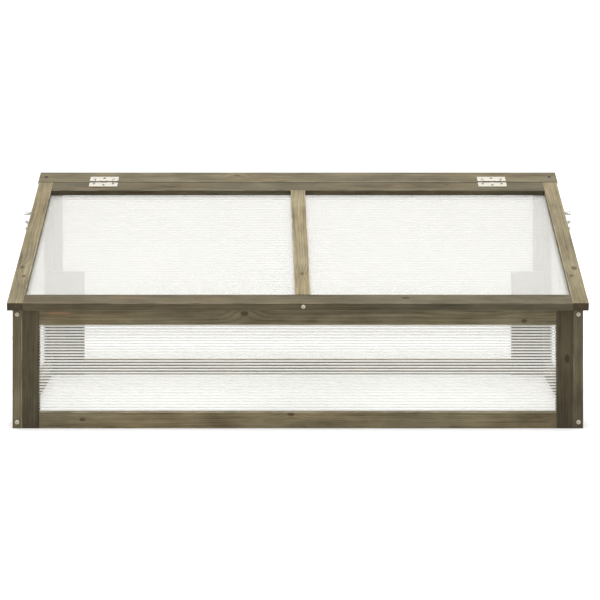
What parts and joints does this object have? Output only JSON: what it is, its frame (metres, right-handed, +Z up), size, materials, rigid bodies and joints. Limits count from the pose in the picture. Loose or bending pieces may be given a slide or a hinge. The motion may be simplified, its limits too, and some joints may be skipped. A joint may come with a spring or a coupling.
{
  "type": "cold frame",
  "caption": "Low wooden cold frame with fluted twin-wall panels on all sides and a sloping hinged lid held open by slotted stays.",
  "frame": {"origin": "on the ground, under the middle of the overall box", "axes": "+X to the right seen from the low front, +Y to the hinged back, +Z up"},
  "size_m": [1.1316, 0.5848, 0.4278],
  "materials": {
    "timber": "greyed brown stain, matt",
    "twin_wall_sheet": "clear twin-wall polycarbonate, hazy",
    "hinge_plating": "pale zinc plating",
    "screw_plating": "pale zinc plating",
    "dark_screw": "dark oxide",
    "stay_plating": "bright zinc plating"
  },
  "bodies": {
    "base": {"side_left_front_stile": "timber", "side_left_rear_stile": "timber", "side_left_bottom_rail": "timber", "side_left_top_rail": "timber", "side_left_glazing": "twin_wall_sheet", "side_right_front_stile": "timber", "side_right_rear_stile": "timber", "side_right_bottom_rail": "timber", "side_right_top_rail": "timber", "side_right_glazing": "twin_wall_sheet", "front_left_stile": "timber", "front_right_stile": "timber", "front_top_rail": "timber", "front_bottom_rail": "timber", "front_glazing": "twin_wall_sheet", "back_left_stile": "timber", "back_right_stile": "timber", "back_top_rail": "timber", "back_bottom_rail": "timber", "back_glazing": "twin_wall_sheet", "corner_board_left": "timber", "corner_board_right": "timber", "hinge_board": "timber", "hinge_left_fixed_leaf": "hinge_plating", "hinge_right_fixed_leaf": "hinge_plating", "hinge_left_pin": "hinge_plating", "hinge_right_pin": "hinge_plating", "fixed_leaf_screws": "screw_plating", "frame_screws": "screw_plating", "corner_screws": "screw_plating", "hinge_board_screws": "dark_screw", "stay_lower_stud_left": "stay_plating", "stay_lower_stud_right": "stay_plating", "stay_spacer_left": "stay_plating", "stay_spacer_right": "stay_plating"},
    "lid": {"lid_left_stile": "timber", "lid_right_stile": "timber", "lid_front_rail": "timber", "lid_rear_rail": "timber", "lid_glazing_bar": "timber", "lid_glazing": "twin_wall_sheet", "hinge_left_moving_leaf": "hinge_plating", "hinge_right_moving_leaf": "hinge_plating", "moving_leaf_screws": "screw_plating", "lid_frame_screws": "screw_plating", "glazing_bar_screw": "screw_plating", "lid_glazing_screws": "screw_plating", "stay_upper_stud_left": "stay_plating", "stay_upper_stud_right": "stay_plating"},
    "stay_left": {"stay_arm_left": "stay_plating"},
    "wing_nut_upper_left": {"upper_wing_nut_left": "stay_plating"},
    "wing_nut_lower_left": {"lower_wing_nut_left": "stay_plating"},
    "stay_right": {"stay_arm_right": "stay_plating"},
    "wing_nut_upper_right": {"upper_wing_nut_right": "stay_plating"},
    "wing_nut_lower_right": {"lower_wing_nut_right": "stay_plating"}
  },
  "joints": [
    {"name": "lid_hinge", "type": "hinge", "parent": "base", "child": "lid", "pos_m": [0, 0.23777, 0.41456], "axis": [-1, 0, 0], "range_deg": [0, 70]},
    {"name": "stay_left_swing", "type": "hinge", "parent": "lid", "child": "stay_left", "pos_m": [-0.5515, 0.1098, 0.36183], "axis": [1, 0, 0], "range_deg": [0, 35]},
    {"name": "wing_nut_upper_left_turn", "type": "hinge", "parent": "lid", "child": "wing_nut_upper_left", "pos_m": [-0.55702, 0.1098, 0.36183], "axis": [-1, 0, 0], "continuous": true},
    {"name": "wing_nut_lower_left_turn", "type": "hinge", "parent": "base", "child": "wing_nut_lower_left", "pos_m": [-0.55702, 0.12471, 0.33473], "axis": [-1, 0, 0], "continuous": true},
    {"name": "stay_right_swing", "type": "hinge", "parent": "lid", "child": "stay_right", "pos_m": [0.5515, 0.1098, 0.36183], "axis": [1, 0, 0], "range_deg": [0, 35]},
    {"name": "wing_nut_upper_right_turn", "type": "hinge", "parent": "lid", "child": "wing_nut_upper_right", "pos_m": [0.55702, 0.1098, 0.36183], "axis": [1, 0, 0], "continuous": true},
    {"name": "wing_nut_lower_right_turn", "type": "hinge", "parent": "base", "child": "wing_nut_lower_right", "pos_m": [0.55702, 0.12471, 0.33473], "axis": [1, 0, 0], "continuous": true}
  ],
  "couplings": [
    {"joint": "stay_left_swing", "follows": "lid_hinge", "ratio": 0.5},
    {"joint": "stay_right_swing", "follows": "lid_hinge", "ratio": 0.5}
  ]
}
